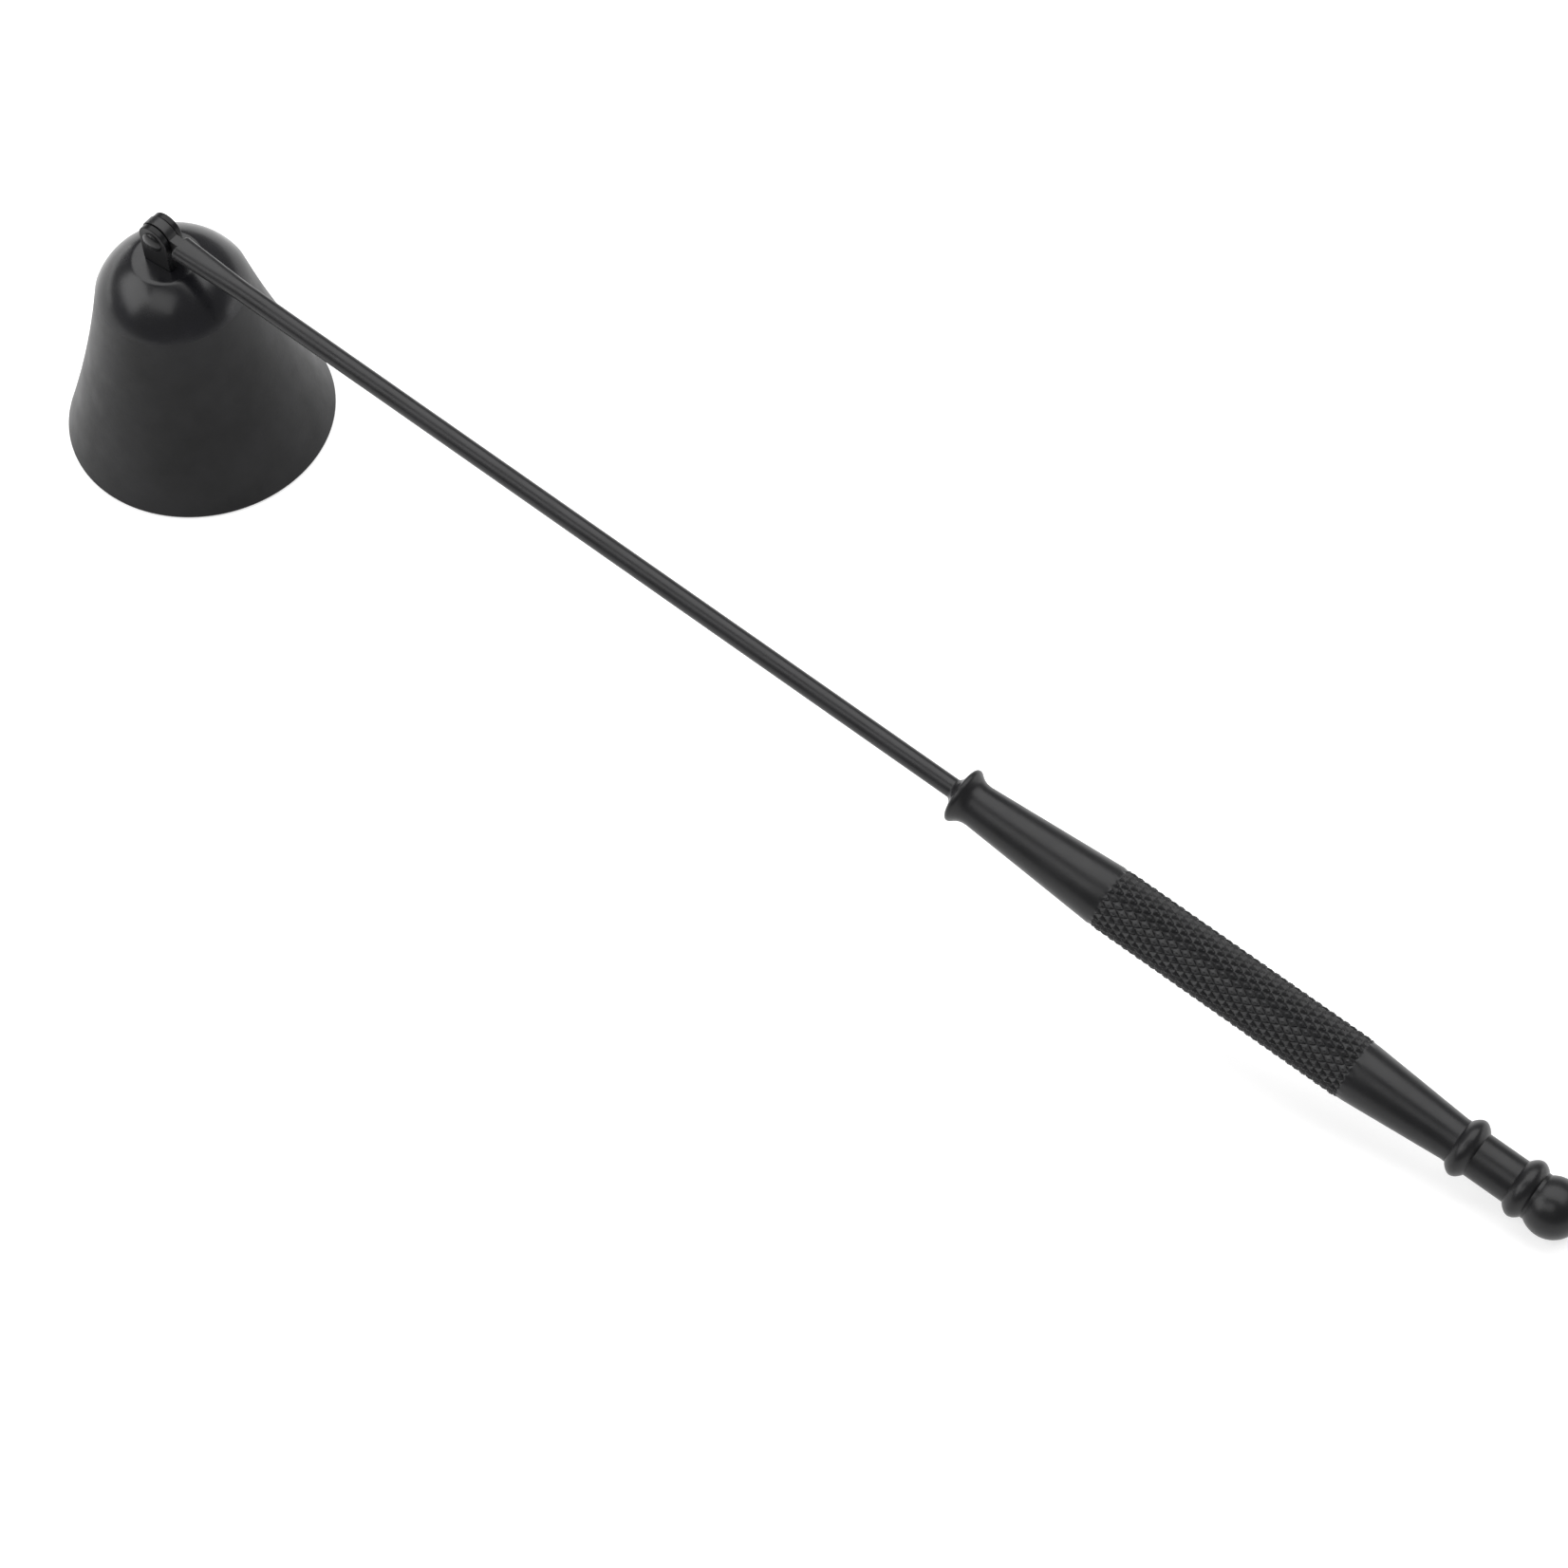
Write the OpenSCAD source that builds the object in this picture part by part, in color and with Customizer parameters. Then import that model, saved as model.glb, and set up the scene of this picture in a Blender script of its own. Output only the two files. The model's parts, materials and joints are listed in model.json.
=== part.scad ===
// Candle snuffer: a flared bell hinged to a rod with a turned, knurled handle.
// Units are millimetres. +Z is up, and +X runs from the bell to the ball end.
// The bell's rim and the ball end both rest on z = 0. The origin is the middle of the
// overall box on that plane.

/* [Bell] */
// Outside radius of the bell at its rim
rim_radius = 17.5; // [15:0.1:20]
// Outside radius at the crease between skirt and crown
crease_radius = 9.85; // [9.4:0.05:10.2]
// Height of the crease above the rim
crease_height = 25.6; // [24:0.1:26.5]
// Radius of the crown's spherical curve
crown_curve = 10.8; // [10.6:0.1:11.4]
// How far the skirt bows in below a straight cone
skirt_bow = 0.5; // [0:0.05:0.8]
// Thickness of the drawn sheet
sheet = 0.8; // [0.6:0.1:1]
// Radius of the flat land on top of the crown
land_radius = 4.4; // [4:0.1:4.8]

/* [Hinge] */
// Height of the pivot above the rim
pivot_height = 35.3; // [35.1:0.1:36]
// Width of an ear, along the rod
ear_width = 3.5; // [3.2:0.1:3.6]
// Height of the ears above the pivot
ear_rise = 2.3; // [2:0.1:2.5]
// Thickness of one ear
ear_thickness = 0.85; // [0.7:0.05:1]
// Gap between the ears
ear_gap = 1.5; // [1.3:0.05:1.6]
// Radius of the hinge pin's shank
pin_radius = 0.75; // [0.6:0.05:0.85]
// Radius of the hinge pin's heads
pin_head_radius = 1.45; // [1.2:0.05:1.55]
// Height of each pin head
pin_head_height = 0.6; // [0.4:0.05:0.7]
// Radius of the bracket's stud through the crown
stud_radius = 1.2; // [1:0.1:1.4]

/* [Rod] */
// Diameter of the rod
rod_diameter = 2.5; // [2.2:0.1:2.8]
// Radial clearance of the eye on the pin
eye_clearance = 0.05; // [0.03:0.01:0.1]
// Side clearance of the eye between the ears
side_clearance = 0.07; // [0.05:0.01:0.1]
// Outside radius of the eye
eye_radius = 2.4; // [2.1:0.1:2.5]
// Distance from the pivot to the shoulder
shoulder_start = 3; // [2.9:0.1:3.6]
// Width of the shoulder
shoulder_width = 3.3; // [2.9:0.1:3.6]
// Height of the shoulder
shoulder_height = 2.4; // [2.2:0.1:2.5]
// Distance from the pivot at which the shoulder has run out into the round rod
shoulder_end = 13.5; // [11:0.5:20]

/* [Handle] */
// Distance from the pivot to the collar's front
collar_start = 122.9; // [110:0.1:130]
// Radius of the collar's rim
collar_radius = 3.56; // [3.4:0.01:4]
// Radius of the neck behind the collar
neck_radius = 2.7; // [2.4:0.05:3]
// Radius of the knurled barrel over its crests
barrel_radius = 4; // [3.95:0.05:4.4]
// Length of the front taper, from the neck to the barrel
front_taper = 18.9; // [14:0.1:24]
// Length of the knurled barrel
barrel_length = 35; // [28:0.1:42]
// Length of the rear taper, from the barrel to the first bead
rear_taper = 14.2; // [10:0.1:18]
// Radius of the bar between the beads
waist_radius = 2.82; // [2.6:0.02:3]
// Radius of the beads
bead_radius = 3.75; // [3.4:0.05:3.9]
// Length of each bead
bead_length = 2.6; // [2.2:0.1:3]
// Length of the waist between the beads
waist_length = 5.3; // [4:0.1:7]
// Radius of the ball end
ball_radius = 3.7; // [3.4:0.05:3.9]
// Depth of the rod in the handle's blind bore
bore_depth = 13; // [8:0.5:18]

/* [Hidden] */
$fn = 96;
crown_steps = 18;
skirt_steps = 10;
bead_steps = 12;
ball_steps = 22;

bracket_width = ear_gap + 2 * ear_thickness;
slot_floor = pivot_height - eye_radius - 0.25;
ear_centre = pivot_height + ear_rise - ear_width / 2;
stud_head_radius = stud_radius + 1;
stud_head_height = 0.6;
eye_thickness = ear_gap - 2 * side_clearance;
rod_radius = rod_diameter / 2;

// middle of the crown's sphere, its flat land, and the same for its inner face
crown_middle = crease_height - sqrt(pow(crown_curve, 2) - pow(crease_radius, 2));
land_height = crown_middle + sqrt(pow(crown_curve, 2) - pow(land_radius, 2));
inner_curve = crown_curve - sheet;
inner_crease = crease_radius - sheet;
inner_crease_height = crown_middle + sqrt(pow(inner_curve, 2) - pow(inner_crease, 2));
inner_land = sqrt(pow(inner_curve, 2) - pow(land_height - sheet - crown_middle, 2));

flare_length = 3.7;
neck_end = collar_start + flare_length;
barrel_start = neck_end + front_taper;
barrel_end = barrel_start + barrel_length;
bead1_start = barrel_end + rear_taper;
bead1_end = bead1_start + bead_length;
bead2_start = bead1_end + waist_length;
bead2_end = bead2_start + bead_length;
groove_radius = waist_radius + 0.22;
ball_centre = bead2_end + sqrt(pow(ball_radius, 2) - pow(groove_radius, 2)) + 0.4;
rod_end = collar_start + bore_depth;

// the rod slopes down so that the ball end touches the plane of the rim
slope = asin((pivot_height - ball_radius) / ball_centre);
middle_x = (ball_centre * cos(slope) + ball_radius - rim_radius) / 2;

function skirt_r(r0, r1, k) = r0 + (r1 - r0) * k - 4 * skirt_bow * k * (1 - k);

// one side of the skirt, from the rim up to the crease
function skirt_side(r0, r1, top) =
    [for (i = [0:skirt_steps]) [skirt_r(r0, r1, i / skirt_steps), top * i / skirt_steps]];

// one side of the crown, from the crease up to the land
function crown_side(r1, curve, land) =
    let (from = asin(r1 / curve), to = asin(land / curve))
    [for (i = [0:crown_steps])
        let (a = from + (to - from) * i / crown_steps)
        [curve * sin(a), crown_middle + curve * cos(a)]];

function turned_back(p) = [for (i = [len(p) - 1:-1:0]) p[i]];

// a rounded bump from radius r_a to r_b, as points after the first
function bump(from, length, r_a, r_b, r_top) =
    [for (i = [1:bead_steps])
        let (k = i / bead_steps, base = r_a + (r_b - r_a) * k)
        [base + (r_top - (r_a + r_b) / 2) * pow(sin(180 * k), 0.85), from + length * k]];

bell();
hinge_bracket();
hinge_pin();
rod();
handle();

// puts something built about the bell's axis into the part's frame
module on_bell() {
    translate([-middle_x, 0, 0]) children();
}

// puts something built along +Z from the pivot onto the sloping rod axis
module on_rod() {
    translate([-middle_x, 0, pivot_height]) rotate([0, 90 + slope, 0]) children();
}

module across(r, len) {
    rotate([90, 0, 0]) cylinder(r = r, h = len, center = true);
}

// drawn cup: flared skirt, crease and domed crown, with a hole for the stud
module bell() {
    color([0.05, 0.05, 0.055])
    on_bell()
    difference() {
        rotate_extrude()
        polygon(concat(
            skirt_side(rim_radius, crease_radius, crease_height),
            crown_side(crease_radius, crown_curve, land_radius),
            [[0, land_height], [0, land_height - sheet]],
            turned_back(crown_side(inner_crease, inner_curve, inner_land)),
            turned_back(skirt_side(rim_radius - sheet, inner_crease, inner_crease_height))
        ));
        translate([0, 0, land_height - 2 * sheet]) cylinder(r = stud_radius, h = 3 * sheet);
    }
}

// solid clevis on the crown's land, with its stud peened over under the crown
module hinge_bracket() {
    color([0.045, 0.045, 0.05])
    on_bell() {
        difference() {
            union() {
                translate([0, 0, ear_centre]) across(ear_width / 2, bracket_width);
                translate([-ear_width / 2, -bracket_width / 2, land_height])
                    cube([ear_width, bracket_width, ear_centre - land_height]);
            }
            translate([-ear_width, -ear_gap / 2, slot_floor])
                cube([2 * ear_width, ear_gap, 3 * ear_rise + eye_radius]);
            translate([0, 0, pivot_height]) across(pin_radius, 2 * bracket_width);
        }
        translate([0, 0, land_height - sheet]) cylinder(r = stud_radius, h = 1.5 * sheet);
        translate([0, 0, land_height - sheet - stud_head_height])
            cylinder(r1 = stud_head_radius - 0.35, r2 = stud_head_radius, h = stud_head_height);
    }
}

// rivet with two domed heads, one on each ear
module hinge_pin() {
    color([0.06, 0.06, 0.065])
    on_bell()
    translate([0, 0, pivot_height]) {
        across(pin_radius, bracket_width);
        for (side = [-1, 1])
            rotate([side * 90, 0, 0]) translate([0, 0, bracket_width / 2]) pin_head();
    }
}

module pin_head() {
    rotate_extrude()
    polygon([
        [0, 0], [pin_head_radius, 0], [pin_head_radius, 0.3 * pin_head_height],
        [0.8 * pin_head_radius, 0.75 * pin_head_height],
        [0.45 * pin_head_radius, pin_head_height], [0, pin_head_height]
    ]);
}

// round rod with a flattened shoulder, and an eye between the ears
module rod() {
    color([0.05, 0.05, 0.055])
    on_rod()
    difference() {
        union() {
            across(eye_radius, eye_thickness);
            translate([-shoulder_height / 2, -eye_thickness / 2, 0])
                cube([shoulder_height, eye_thickness, shoulder_start + 1]);
            intersection() {
                union() {
                    translate([0, 0, shoulder_start])
                        cylinder(r1 = shoulder_width / 2 - 0.25, r2 = shoulder_width / 2, h = 0.4);
                    translate([0, 0, shoulder_start + 0.4])
                        cylinder(r1 = shoulder_width / 2, r2 = rod_radius,
                            h = shoulder_end - shoulder_start - 0.4);
                }
                translate([-shoulder_height / 2, -shoulder_width, 0])
                    cube([shoulder_height, 2 * shoulder_width, shoulder_end]);
            }
            translate([0, 0, shoulder_end - 0.5])
                cylinder(r = rod_radius, h = rod_end - shoulder_end + 0.5);
        }
        across(pin_radius + eye_clearance, 2 * eye_thickness);
    }
}

// one turned bar: collar, tapers, barrel, two beads and the ball end
module handle() {
    ball_from = asin(groove_radius / ball_radius);
    color([0.05, 0.05, 0.055])
    on_rod()
    difference() {
        rotate_extrude()
        polygon(concat(
            [[0, collar_start], [rod_radius + 0.3, collar_start],
             [rod_radius + 0.75, collar_start + 0.35],
             [collar_radius - 0.5, collar_start + 0.85],
             [collar_radius - 0.12, collar_start + 1.1],
             [collar_radius, collar_start + 1.4],
             [collar_radius - 0.07, collar_start + 1.7],
             [collar_radius - 0.36, collar_start + 2.1],
             [collar_radius - 0.63, collar_start + 2.55],
             [neck_radius + 0.06, collar_start + 3.1],
             [neck_radius, neck_end],
             [barrel_radius - 0.1, barrel_start - 0.5],
             [barrel_radius, barrel_start],
             [barrel_radius, barrel_end],
             [barrel_radius - 0.22, barrel_end + 0.8],
             [waist_radius - 0.04, bead1_start - 0.8],
             [waist_radius, bead1_start]],
            bump(bead1_start, bead_length, waist_radius, waist_radius, bead_radius),
            [[waist_radius, bead2_start]],
            bump(bead2_start, bead_length, waist_radius, groove_radius, bead_radius),
            [for (i = [0:ball_steps])
                let (a = ball_from + (180 - ball_from) * i / ball_steps)
                [ball_radius * sin(a), ball_centre - ball_radius * cos(a)]]
        ));
        translate([0, 0, collar_start - 1]) cylinder(r = rod_radius, h = bore_depth + 1);
    }
}
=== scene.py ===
"""Candle snuffer: a flared black bell hinged to a thin rod with a turned, knurled handle.

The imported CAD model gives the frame. Every visible piece is built here around it, in metres,
from the hinge's place and the rod's slope.
"""

import json
import math

import bmesh
import bpy
from mathutils import Matrix, Vector


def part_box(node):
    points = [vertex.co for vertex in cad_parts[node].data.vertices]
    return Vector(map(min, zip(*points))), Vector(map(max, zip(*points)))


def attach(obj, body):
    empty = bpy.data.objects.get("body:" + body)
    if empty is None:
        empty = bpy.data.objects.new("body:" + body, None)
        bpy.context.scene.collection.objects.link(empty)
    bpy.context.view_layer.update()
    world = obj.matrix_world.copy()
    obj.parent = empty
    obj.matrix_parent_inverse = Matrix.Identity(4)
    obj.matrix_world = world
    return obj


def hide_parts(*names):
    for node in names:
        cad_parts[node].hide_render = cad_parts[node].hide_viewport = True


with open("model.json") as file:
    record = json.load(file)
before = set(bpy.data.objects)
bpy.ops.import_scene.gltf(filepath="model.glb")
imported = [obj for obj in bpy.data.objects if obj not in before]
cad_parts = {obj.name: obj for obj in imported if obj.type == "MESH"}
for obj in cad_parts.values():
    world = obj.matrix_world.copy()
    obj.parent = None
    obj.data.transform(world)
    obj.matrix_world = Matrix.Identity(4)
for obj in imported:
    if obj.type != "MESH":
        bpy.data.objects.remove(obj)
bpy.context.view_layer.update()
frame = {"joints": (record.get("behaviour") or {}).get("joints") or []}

MM = 0.001
SEGMENTS = 192

# ---------------------------------------------------------------- sizes, from the frame

PIVOT = Vector(frame["joints"][0]["pos_m"])
bell_low, bell_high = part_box("bell")
bracket_low, bracket_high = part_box("hinge_bracket")
pin_low, pin_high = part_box("hinge_pin")

RIM_R = (bell_high.y - bell_low.y) / 2
LAND_Z = bell_high.z
LAND_R = 4.4 * MM
CREASE_R = 9.85 * MM
CREASE_Z = 25.6 * MM
CROWN_CURVE = 10.8 * MM
CROWN_MIDDLE = LAND_Z - math.sqrt(CROWN_CURVE**2 - LAND_R**2)
SHEET = 0.8 * MM
SKIRT_BOW = 0.5 * MM
SKIRT_STEPS = 40
CROWN_STEPS = 30

EAR_WIDTH = bracket_high.x - bracket_low.x
EAR_TOP = bracket_high.z
EAR_THICK = 0.85 * MM
EAR_GAP = 1.5 * MM
SLOT_FLOOR = PIVOT.z - 2.65 * MM
PIN_HEAD_R = (pin_high.z - pin_low.z) / 2
PIN_HEAD_H = 0.6 * MM
PIN_R = 0.75 * MM
EYE_BORE_R = 0.8 * MM

ROD_R = 1.25 * MM
EYE_R = 2.4 * MM
EYE_THICK = 1.36 * MM
SHOULDER_START = 3.0 * MM
SHOULDER_END = 13.5 * MM
SHOULDER_WIDTH = 3.3 * MM
SHOULDER_HEIGHT = 2.4 * MM
SHOULDER_SQUARE = 2.7

COLLAR_START = 122.9 * MM
COLLAR_R = 3.56 * MM
NECK_R = 2.7 * MM
BARREL_R = 4.0 * MM
FLARE = 3.7 * MM
FRONT_TAPER = 18.9 * MM
BARREL_LENGTH = 35.0 * MM
REAR_TAPER = 14.2 * MM
WAIST_R = 2.82 * MM
GROOVE_R = WAIST_R + 0.22 * MM
BEAD_R = 3.75 * MM
BEAD_LENGTH = 2.6 * MM
WAIST_LENGTH = 5.3 * MM
BALL_R = 3.7 * MM
BALL_SKIN = BALL_R - 0.004 * MM

BARREL_START = COLLAR_START + FLARE + FRONT_TAPER
BARREL_END = BARREL_START + BARREL_LENGTH
BEAD1 = BARREL_END + REAR_TAPER
BEAD2 = BEAD1 + BEAD_LENGTH + WAIST_LENGTH
BALL_AT = BEAD2 + BEAD_LENGTH + math.sqrt(BALL_R**2 - GROOVE_R**2) + 0.4 * MM

SLOPE = math.asin((PIVOT.z - BALL_R) / BALL_AT)
ON_ROD = Matrix.Translation(PIVOT) @ Matrix.Rotation(math.pi / 2 + SLOPE, 4, "Y")
ON_BELL = Matrix.Translation((PIVOT.x, 0, 0))

KNURLS_ROUND = 23
KNURLS_LONG = 18
KNURL_STEPS = 6
KNURL_DEPTH = 0.3 * MM


# ---------------------------------------------------------------- mesh helpers

def new_piece(name, bm, body, materials, replaced=(), sharp=38):
    """Turns a bmesh into a smooth-shaded piece that rides on a CAD body."""
    bmesh.ops.remove_doubles(bm, verts=bm.verts, dist=1e-8)
    bmesh.ops.recalc_face_normals(bm, faces=bm.faces)
    mesh = bpy.data.meshes.new(name)
    bm.to_mesh(mesh)
    bm.free()
    for material in materials:
        mesh.materials.append(material)
    mesh.shade_smooth()
    mesh.set_sharp_from_angle(angle=math.radians(sharp))
    piece = bpy.data.objects.new(name, mesh)
    bpy.context.scene.collection.objects.link(piece)
    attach(piece, body)
    if replaced:
        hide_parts(*replaced)
    return piece


def ring(bm, radius, height, count, turn=0.0):
    """A circle of vertices, or one vertex where the radius is nothing."""
    if radius < 1e-9:
        return [bm.verts.new((0, 0, height))]
    angles = [2 * math.pi * (i + turn) / count for i in range(count)]
    return [bm.verts.new((radius * math.cos(a), radius * math.sin(a), height)) for a in angles]


def bridge(bm, a, b):
    """Faces between two rings, either of which may be a single vertex."""
    count = max(len(a), len(b))
    for i in range(count):
        j = (i + 1) % count
        corners = [a[i % len(a)], a[j % len(a)], b[j % len(b)], b[i % len(b)]]
        loop = [v for k, v in enumerate(corners) if v not in corners[:k]]
        bm.faces.new(loop)


def stagger(bm, a, b, odd):
    """Triangles between two rings that are half a step apart, so edges follow the knurl."""
    count = len(a)
    for i in range(count):
        j = (i + 1) % count
        if odd:
            bm.faces.new([a[i], b[j], b[i]])
            bm.faces.new([a[i], a[j], b[j]])
        else:
            bm.faces.new([a[i], a[j], b[i]])
            bm.faces.new([a[j], b[j], b[i]])


def revolve(bm, profile, count=SEGMENTS):
    """Sweeps (radius, height) points about Z and returns the rings."""
    rings = [ring(bm, r, z, count) for r, z in profile]
    for a, b in zip(rings, rings[1:]):
        bridge(bm, a, b)
    return rings


def spline(points, steps):
    """A Catmull-Rom curve through (radius, height) points."""
    ends = [points[0]] + list(points) + [points[-1]]
    curve = []
    for p0, p1, p2, p3 in zip(ends, ends[1:], ends[2:], ends[3:]):
        for k in range(steps):
            t = k / steps
            curve.append(tuple(
                0.5 * (2 * b + (c - a) * t + (2 * a - 5 * b + 4 * c - d) * t * t
                       + (3 * b - a - 3 * c + d) * t**3)
                for a, b, c, d in zip(p0, p1, p2, p3)))
    return curve + [points[-1]]


def straight(start, end, steps):
    """Evenly spaced points on a line, after its first point."""
    return [tuple(a + (b - a) * k / steps for a, b in zip(start, end)) for k in range(1, steps + 1)]


def arc(centre, radius, start, end, steps):
    """Points on a circle in the (radius, height) plane, angles in degrees."""
    angles = [math.radians(start + (end - start) * i / steps) for i in range(steps + 1)]
    return [(centre[0] + radius * math.cos(a), centre[1] + radius * math.sin(a)) for a in angles]


# ---------------------------------------------------------------- materials

DARK = (0.006, 0.006, 0.0065)
WORN = (0.012, 0.012, 0.013)
CROWN_WORN = (0.008, 0.008, 0.01)
FINE_WORN = (0.008, 0.008, 0.009)
DUSTY = (0.02, 0.02, 0.02)

def black_coat(name, dark, light, rough, grain_mm, grain, specular):
    """Thin black coat on metal: slight mottling, uneven sheen and a fine orange-peel grain."""
    material = bpy.data.materials.new(name)
    material.use_nodes = True
    nodes, links = material.node_tree.nodes, material.node_tree.links
    shader = nodes["Principled BSDF"]
    shader.inputs["Specular IOR Level"].default_value = specular

    place = nodes.new("ShaderNodeTexCoord")

    def texture(scale_mm, detail):
        cloud = nodes.new("ShaderNodeTexNoise")
        cloud.inputs["Scale"].default_value = 1 / (scale_mm * MM)
        cloud.inputs["Detail"].default_value = detail
        links.new(place.outputs["Object"], cloud.inputs["Vector"])
        return cloud.outputs["Fac"]

    def spread(source, low, high):
        ramp = nodes.new("ShaderNodeMapRange")
        ramp.inputs["From Min"].default_value = 0.3
        ramp.inputs["From Max"].default_value = 0.7
        ramp.inputs["To Min"].default_value = low
        ramp.inputs["To Max"].default_value = high
        links.new(source, ramp.inputs["Value"])
        return ramp.outputs["Result"]

    tone = nodes.new("ShaderNodeMix")
    tone.data_type = "RGBA"
    tone.inputs["A"].default_value = (*dark, 1)
    tone.inputs["B"].default_value = (*light, 1)
    links.new(spread(texture(7, 4), 0, 1), tone.inputs["Factor"])
    links.new(tone.outputs["Result"], shader.inputs["Base Color"])
    links.new(spread(texture(3, 5), rough - 0.05, rough + 0.05), shader.inputs["Roughness"])

    bump = nodes.new("ShaderNodeBump")
    bump.inputs["Strength"].default_value = grain
    bump.inputs["Distance"].default_value = 0.02 * MM
    links.new(texture(grain_mm, 3), bump.inputs["Height"])
    links.new(bump.outputs["Normal"], shader.inputs["Normal"])
    return material


def matt_coat(name):
    """The skirt's matt coat, with a faint dusty sheen at grazing angles."""
    material = black_coat(name, DARK, WORN, 0.5, 0.35, 0.5, 0.2)
    shader = material.node_tree.nodes["Principled BSDF"]
    shader.inputs["Sheen Weight"].default_value = 0.16
    shader.inputs["Sheen Roughness"].default_value = 0.35
    return material


# name, dark tone, light tone, roughness, grain size in mm, grain strength, specular level
skirt_coat = matt_coat("skirt_coat")
crown_coat = black_coat("crown_coat", DARK, CROWN_WORN, 0.24, 0.6, 0.12, 0.36)
inside_coat = black_coat("inside_coat", DARK, DUSTY, 0.55, 0.3, 0.8, 0.3)
bracket_coat = black_coat("bracket_coat", DARK, FINE_WORN, 0.3, 0.4, 0.3, 0.18)
pin_coat = black_coat("pin_coat", DARK, WORN, 0.25, 0.3, 0.3, 0.3)
rod_coat = black_coat("rod_coat", DARK, WORN, 0.34, 0.3, 0.35, 0.35)
handle_coat = black_coat("handle_coat", DARK, FINE_WORN, 0.34, 0.3, 0.4, 0.31)


# ---------------------------------------------------------------- bell

def skirt(start, end):
    """Points up one side of the skirt, bowed in below a straight cone."""
    shares = [i / SKIRT_STEPS for i in range(SKIRT_STEPS + 1)]
    return [(start[0] + (end[0] - start[0]) * k - 4 * SKIRT_BOW * k * (1 - k),
             start[1] + (end[1] - start[1]) * k) for k in shares]


def crown(radius, curve):
    """Points from the crease over the sphere, round a soft corner, to the land and the axis."""
    start = math.asin(radius / curve)
    top = LAND_Z - (CROWN_CURVE - curve)
    land_at = math.acos((top - CROWN_MIDDLE) / curve)
    leave = land_at * 1.08
    angles = [start + (leave - start) * i / CROWN_STEPS for i in range(CROWN_STEPS + 1)]
    side = [(curve * math.sin(a), CROWN_MIDDLE + curve * math.cos(a)) for a in angles]
    edge, inward = side[-1], (curve * math.sin(land_at) * 0.9, top)
    corner = (edge[0] + (top - edge[1]) / -math.tan(leave), top)
    blend = [tuple((1 - t) ** 2 * a + 2 * t * (1 - t) * b + t * t * c
                   for a, b, c in zip(edge, corner, inward)) for t in (0.2, 0.4, 0.6, 0.8, 1.0)]
    flat = [(inward[0] * (1 - i / 6), top) for i in range(1, 7)]
    return side + blend + flat


def build_bell():
    """A drawn sheet cup with a rounded rim edge, inside and out."""
    bm = bmesh.new()
    edge = SHEET / 2
    inner_curve = CROWN_CURVE - SHEET
    inner_r = CREASE_R - SHEET
    inner_crease = (inner_r, CROWN_MIDDLE + math.sqrt(inner_curve**2 - inner_r**2))
    outer = skirt((RIM_R, edge), (CREASE_R, CREASE_Z)) + crown(CREASE_R, CROWN_CURVE)[1:]
    inner = skirt((RIM_R - SHEET, edge), inner_crease) + crown(inner_r, inner_curve)[1:]
    lip = arc((RIM_R - edge, edge), edge, 180, 360, 10)[1:-1]
    rings = revolve(bm, inner[::-1] + lip + outer)
    inside_until = len(inner) + len(lip) // 2
    crown_from = len(inner) + len(lip) + SKIRT_STEPS
    for k, (a, b) in enumerate(zip(rings, rings[1:])):
        material = 2 if k < inside_until else (1 if k >= crown_from else 0)
        both = set(a) | set(b)
        for v in a:
            for face in v.link_faces:
                if both.issuperset(face.verts):
                    face.material_index = material
    bm.transform(ON_BELL)
    return new_piece("bell_cup", bm, "bell_body",
                     [skirt_coat, crown_coat, inside_coat], ["bell"], sharp=10)


# ---------------------------------------------------------------- hinge

def slab(bm, outline, low_y, high_y):
    """Extrudes an (x, z) outline between two y values."""
    front = [bm.verts.new((x, low_y, z)) for x, z in outline]
    back = [bm.verts.new((x, high_y, z)) for x, z in outline]
    bm.faces.new(front)
    bm.faces.new(back[::-1])
    walls(bm, front, back)


def walls(bm, front, back):
    """Faces joining two matching loops of vertices."""
    count = len(front)
    for i in range(count):
        j = (i + 1) % count
        bm.faces.new([front[i], back[i], back[j], front[j]])


def bored_slab(bm, outline, centre, radius, low_y, high_y):
    """Extrudes an (x, z) outline with a round bore, its bore points facing the outline's."""
    bore = []
    for x, z in outline:
        away = math.atan2(z - centre[1], x - centre[0])
        bore.append((centre[0] + radius * math.cos(away), centre[1] + radius * math.sin(away)))
    loops = []
    for points in (outline, bore):
        for y in (low_y, high_y):
            loops.append([bm.verts.new((x, y, z)) for x, z in points])
    front, back, bore_front, bore_back = loops
    walls(bm, front, back)
    walls(bm, bore_back, bore_front)
    walls(bm, bore_front, front)
    walls(bm, back, bore_back)


def bevelled(piece, width, steps=3):
    """Rounds the piece's edges."""
    modifier = piece.modifiers.new("edges", "BEVEL")
    modifier.width = width
    modifier.segments = steps
    modifier.limit_method = "ANGLE"
    modifier.angle_limit = math.radians(40)
    modifier.harden_normals = True
    return piece


def ear_outline():
    """The (x, z) outline of an ear, half round on top, standing on the crown's land."""
    half = EAR_WIDTH / 2
    middle = EAR_TOP - half
    foot = [(-half + EAR_WIDTH * i / 12, LAND_Z) for i in range(13)]
    right = [(half, LAND_Z + (middle - LAND_Z) * i / 8) for i in range(1, 8)]
    left = [(-x, z) for x, z in right[::-1]]
    return foot + right + arc((0, middle), half, 0, 180, 36) + left


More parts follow.
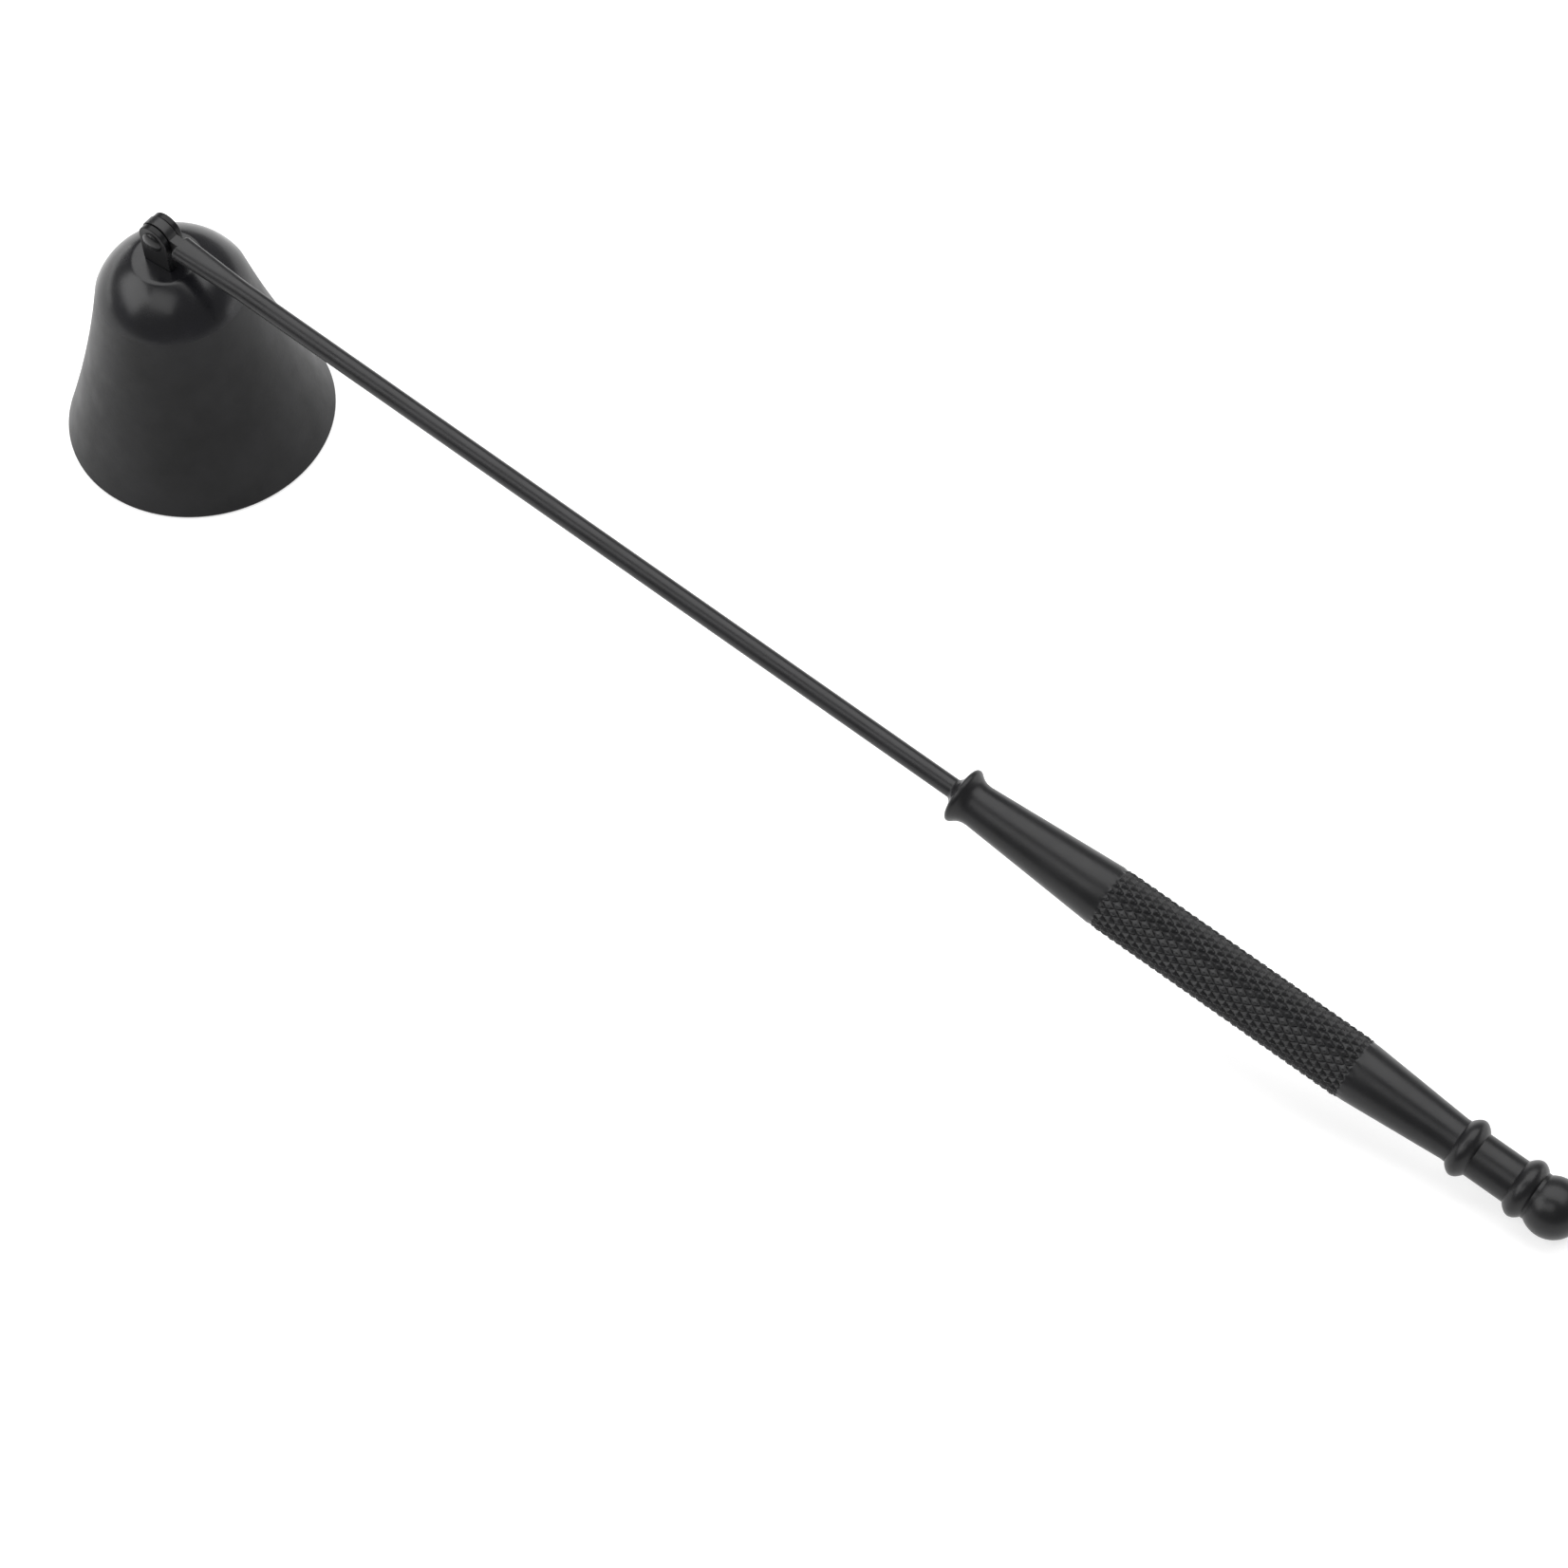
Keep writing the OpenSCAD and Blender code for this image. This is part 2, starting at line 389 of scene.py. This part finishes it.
def build_bracket():
    """Clevis on the crown: two ears, the web between them, and the peened stud inside."""
    bm = bmesh.new()
    inner, outer = EAR_GAP / 2, EAR_GAP / 2 + EAR_THICK
    half = EAR_WIDTH / 2
    for low_y, high_y in ((-outer, -inner), (inner, outer)):
        bored_slab(bm, ear_outline(), (0, PIVOT.z), PIN_R, low_y, high_y)
    slab(bm, [(-half, LAND_Z), (half, LAND_Z), (half, SLOT_FLOOR), (-half, SLOT_FLOOR)], -inner, inner)
    under = LAND_Z - SHEET
    head = arc((1.85 * MM, under - 0.25 * MM), 0.35 * MM, -90, 0, 6)
    revolve(bm, [(0, under - 0.6 * MM)] + head + [(2.2 * MM, under), (0, under)], 48)
    bm.transform(ON_BELL)
    piece = new_piece("hinge_clevis", bm, "bell_body", [bracket_coat],
                      ["hinge_bracket"], sharp=30)
    return bevelled(piece, 0.14 * MM)


def build_pin():
    """Rivet: a shank through both ears and the eye, with a domed head on each ear."""
    bm = bmesh.new()
    face = EAR_GAP / 2 + EAR_THICK
    dome = arc((0, 0), 1, 0, 90, 12)[:-1]
    head = [(PIN_R, face)] + [(PIN_HEAD_R * r, face + PIN_HEAD_H * h) for r, h in dome]
    head.append((0, face + PIN_HEAD_H))
    revolve(bm, [(r, -y) for r, y in head[::-1]] + head, 64)
    bm.transform(Matrix.Translation(PIVOT) @ Matrix.Rotation(math.pi / 2, 4, "X"))
    return new_piece("hinge_rivet", bm, "bell_body", [pin_coat], ["hinge_pin"])


# ---------------------------------------------------------------- rod

def shoulder_section(share, count):
    """Cross-section from the flattened shoulder (share 0) to the round rod (share 1)."""
    ease = share * share * (3 - 2 * share)
    half_height = SHOULDER_HEIGHT / 2 + (ROD_R - SHOULDER_HEIGHT / 2) * ease
    half_width = SHOULDER_WIDTH / 2 + (ROD_R - SHOULDER_WIDTH / 2) * share
    power = 2 / (SHOULDER_SQUARE + (2 - SHOULDER_SQUARE) * ease)
    points = []
    for i in range(count):
        a = 2 * math.pi * i / count
        c, s = math.cos(a), math.sin(a)
        points.append((math.copysign(abs(c) ** power, c) * half_height,
                       math.copysign(abs(s) ** power, s) * half_width))
    return points


def build_rod():
    """Round rod, its flattened shoulder, and the eye between the ears."""
    bm = bmesh.new()
    count = 64
    steps = 24
    rings = []
    rounded_end = [(0.78, 0.0), (0.93, 0.12 * MM), (1.0, 0.35 * MM)]
    for scale, ahead in rounded_end:
        section = shoulder_section(0, count)
        rings.append([bm.verts.new((x * scale, y * scale, SHOULDER_START + ahead)) for x, y in section])
    for k in range(1, steps + 1):
        z = SHOULDER_START + (SHOULDER_END - SHOULDER_START) * k / steps
        rings.append([bm.verts.new((x, y, z)) for x, y in shoulder_section(k / steps, count)])
    rings.append(ring(bm, ROD_R, COLLAR_START + 5 * MM, count))
    for a, b in zip(rings, rings[1:]):
        bridge(bm, a, b)
    bm.faces.new(rings[0][::-1])
    bm.faces.new(rings[-1])
    bm.transform(ON_ROD)
    piece = new_piece("rod_bar", bm, "handle_body", [rod_coat], ["rod"])

    bm = bmesh.new()
    half = SHOULDER_HEIGHT / 2
    meet = math.degrees(math.asin(half / EYE_R))
    reach = SHOULDER_START + 0.4 * MM
    neck = [(EYE_R + (reach - EYE_R) * i / 4, half) for i in range(5)][::-1]
    end = [(reach, -half + SHOULDER_HEIGHT * i / 10) for i in range(1, 10)]
    outline = neck + arc((0, 0), EYE_R, meet, 360 - meet, 60) + [(x, -z) for x, z in neck[::-1]] + end
    bored_slab(bm, outline, (0, 0), EYE_BORE_R, -EYE_THICK / 2, EYE_THICK / 2)
    bm.transform(Matrix.Translation(PIVOT) @ Matrix.Rotation(SLOPE, 4, "Y"))
    tongue = new_piece("rod_eye", bm, "handle_body", [rod_coat], sharp=30)
    bevelled(tongue, 0.08 * MM, 2)
    return piece


# ---------------------------------------------------------------- handle

def bead(start, r_before, r_after, steps=20):
    """A rounded bead as (radius, distance) points after its first."""
    points = []
    for i in range(1, steps + 1):
        k = i / steps
        base = r_before + (r_after - r_before) * k
        rise = BEAD_R - (r_before + r_after) / 2
        points.append((base + rise * max(0.0, math.sin(math.pi * k)) ** 0.85, start + BEAD_LENGTH * k))
    return points


def knurl_height(across, along):
    """Share of the full pyramid height, 0 in a groove and 1 on a crest."""
    low = 1.0
    for sign in (-1, 1):
        cell = (across + sign * along) % 1.0
        low = min(low, 2 * min(cell, 1 - cell))
    return min(low, 0.86) / 0.86


def build_handle():
    """One turned bar, with the diamond knurl cut as real pyramids."""
    bm = bmesh.new()
    count = KNURLS_ROUND * KNURL_STEPS
    collar = spline([
        (ROD_R, COLLAR_START - 0.1 * MM),
        (ROD_R + 0.15 * MM, COLLAR_START + 0.15 * MM),
        (ROD_R + 0.6 * MM, COLLAR_START + 0.5 * MM),
        (COLLAR_R - 0.9 * MM, COLLAR_START + 0.8 * MM),
        (COLLAR_R - 0.35 * MM, COLLAR_START + 0.96 * MM),
        (COLLAR_R - 0.08 * MM, COLLAR_START + 1.15 * MM),
        (COLLAR_R, COLLAR_START + 1.4 * MM),
        (COLLAR_R - 0.08 * MM, COLLAR_START + 1.68 * MM),
        (COLLAR_R - 0.36 * MM, COLLAR_START + 2.05 * MM),
        (COLLAR_R - 0.64 * MM, COLLAR_START + 2.5 * MM),
        (NECK_R + 0.05 * MM, COLLAR_START + 3.05 * MM),
        (NECK_R, COLLAR_START + FLARE),
    ], 5)
    before = collar + straight(collar[-1], (BARREL_R - 0.1 * MM, BARREL_START - 0.5 * MM), 8)

    rings = [ring(bm, r, z, count) for r, z in before]
    first = len(before)
    groove_floor = BARREL_R - KNURL_DEPTH
    rows = KNURLS_LONG * 2 * KNURL_STEPS
    for row in range(rows + 1):
        along = row / (2 * KNURL_STEPS)
        z = BARREL_START + BARREL_LENGTH * row / rows
        fade = min(1.0, row / 2, (rows - row) / 2)
        shift = 0.5 * (row % 2)
        level = []
        for i in range(count):
            across = (i + shift) / KNURL_STEPS
            height = knurl_height(across, along)
            r = groove_floor + KNURL_DEPTH * height * fade + (1 - fade) * 0.1 * MM
            a = 2 * math.pi * (i + shift) / count
            level.append(bm.verts.new((r * math.cos(a), r * math.sin(a), z)))
        rings.append(level)

    rear = [(BARREL_R - 0.22 * MM, BARREL_END + 0.8 * MM)]
    rear += straight(rear[0], (WAIST_R - 0.03 * MM, BEAD1 - 0.5 * MM), 8)
    rear += [(WAIST_R, BEAD1)] + bead(BEAD1, WAIST_R, WAIST_R)
    rear += [(WAIST_R, BEAD1 + BEAD_LENGTH + 0.15 * MM), (WAIST_R, BEAD2 - 0.15 * MM), (WAIST_R, BEAD2)]
    rear += bead(BEAD2, WAIST_R, GROOVE_R)
    start = math.asin(GROOVE_R / BALL_R)
    for i in range(41):
        a = start + (math.pi - start) * i / 40
        rear.append((BALL_SKIN * math.sin(a) if i < 40 else 0, BALL_AT - BALL_SKIN * math.cos(a)))
    rings += [ring(bm, r, z, count) for r, z in rear]

    for k, (a, b) in enumerate(zip(rings, rings[1:])):
        row = k - first
        if 0 <= row < rows:
            stagger(bm, a, b, row % 2)
        else:
            bridge(bm, a, b)
    bm.transform(ON_ROD)
    return new_piece("handle_bar", bm, "handle_body", [handle_coat], ["handle"], sharp=24)


build_bell()
build_bracket()
build_pin()
build_rod()
build_handle()


# ---------------------------------------------------------------- floor, light and camera

CAMERA_PLACE = Vector((0.20646, -0.24034, 0.46433))
CAMERA_RIGHT = Vector((0.7966, 0.603, -0.0427))
CAMERA_AHEAD = Vector((-0.3655, 0.4242, -0.8285))
LENS_MM = 104.87


def floor_material():
    """Plain white studio floor."""
    material = bpy.data.materials.new("studio_floor")
    material.use_nodes = True
    shader = material.node_tree.nodes["Principled BSDF"]
    shader.inputs["Base Color"].default_value = (0.5, 0.5, 0.5, 1)
    shader.inputs["Roughness"].default_value = 0.9
    shader.inputs["Specular IOR Level"].default_value = 0.0
    shader.inputs["Emission Color"].default_value = (1, 1, 1, 1)
    shader.inputs["Emission Strength"].default_value = 0.62
    return material


def build_floor():
    """Wide round floor just under the rim's plane."""
    bm = bmesh.new()
    bmesh.ops.create_circle(bm, cap_ends=True, radius=6, segments=96)
    mesh = bpy.data.meshes.new("floor")
    bm.to_mesh(mesh)
    bm.free()
    mesh.materials.append(floor_material())
    floor = bpy.data.objects.new("floor", mesh)
    floor.location.z = -0.02 * MM
    bpy.context.scene.collection.objects.link(floor)


def build_world():
    """Even studio surround."""
    world = bpy.data.worlds.new("studio")
    world.use_nodes = True
    background = world.node_tree.nodes["Background"]
    background.inputs["Color"].default_value = (1, 1, 1, 1)
    background.inputs["Strength"].default_value = 0.3
    bpy.context.scene.world = world


def area_light(name, place, target, size, power):
    """Rectangular softbox, its place and target in metres and its power in watts."""
    light = bpy.data.lights.new(name, "AREA")
    light.shape = "RECTANGLE"
    light.size, light.size_y = size
    light.energy = power
    lamp = bpy.data.objects.new(name, light)
    lamp.location = place
    lamp.rotation_euler = (Vector(target) - Vector(place)).to_track_quat("-Z", "Y").to_euler()
    bpy.context.scene.collection.objects.link(lamp)


def build_camera():
    """Camera at the photograph's viewing angle."""
    camera_data = bpy.data.cameras.new("camera")
    camera_data.sensor_width = 36
    camera_data.lens = LENS_MM
    camera_data.clip_start = 0.01
    camera = bpy.data.objects.new("camera", camera_data)
    right = CAMERA_RIGHT.normalized()
    ahead = CAMERA_AHEAD.normalized()
    up = right.cross(ahead)
    turn = Matrix((right, up, -ahead)).transposed().to_4x4()
    camera.matrix_world = Matrix.Translation(CAMERA_PLACE) @ turn
    bpy.context.scene.collection.objects.link(camera)
    bpy.context.scene.camera = camera


build_floor()
build_world()
area_light("ceiling_softbox", (-0.15, 0.52, 1.0), (-0.1, 0.3, 0), (1.9, 1.2), 19)
area_light("window_softbox", (-0.78, -0.62, 0.8), (-0.1, 0, 0.03), (1.05, 0.75), 7.6)
area_light("front_softbox", (0.06, -0.57, 0.92), (-0.1, 0, 0.03), (0.65, 0.5), 2)
area_light("left_softbox", (-1.0, -0.1, 0.04), (-0.1, 0, 0.02), (0.9, 0.1), 0.7)
area_light("right_softbox", (0.62, 0.75, 0.06), (-0.1, 0, 0.02), (0.8, 0.12), 0.9)
build_camera()
bpy.context.scene.view_settings.view_transform = "Standard"
